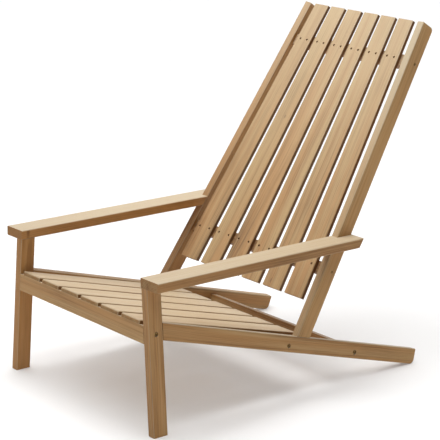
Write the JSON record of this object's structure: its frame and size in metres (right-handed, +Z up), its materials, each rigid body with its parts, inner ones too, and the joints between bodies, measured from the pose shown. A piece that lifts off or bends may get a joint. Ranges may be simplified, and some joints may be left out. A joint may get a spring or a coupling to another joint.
{
  "type": "low slatted wooden lounge chair",
  "caption": "Low wooden lounge chair with a fixed reclined slatted back, a sloped slatted seat, level armrests and canted side frames whose rails run back to the floor.",
  "frame": {"origin": "middle of the floor rectangle that the chair stands in: halfway between the outermost points in width and in depth, at floor height", "axes": "+Z up, -Y to the front of the chair where the sitter's legs go, +X to the sitter's left"},
  "size_m": [0.61, 0.9277, 0.8665],
  "materials": {
    "teak": "planed and oiled, fine straight grain",
    "key_wood": "sawn and glued in, hidden",
    "dull_brass": "dull, weathered"
  },
  "bodies": {
    "root": {"left_leg": "teak", "right_leg": "teak", "left_rail": "teak", "right_rail": "teak", "left_stile": "teak", "right_stile": "teak", "left_armrest": "teak", "right_armrest": "teak", "front_crossrail": "teak", "under_seat_bar": "teak", "rear_stretcher": "teak", "upper_back_bar": "teak", "lower_back_bar": "teak", "seat_slat_1": "teak", "seat_slat_2": "teak", "seat_slat_3": "teak", "seat_slat_4": "teak", "seat_slat_5": "teak", "seat_slat_6": "teak", "back_slat_1": "teak", "back_slat_2": "teak", "back_slat_3": "teak", "back_slat_4": "teak", "back_slat_5": "teak", "back_slat_6": "teak", "frame_bolts": "dull_brass", "barrel_nuts": "dull_brass", "frame_screws": "dull_brass", "arm_keys": "key_wood"}
  },
  "joints": []
}
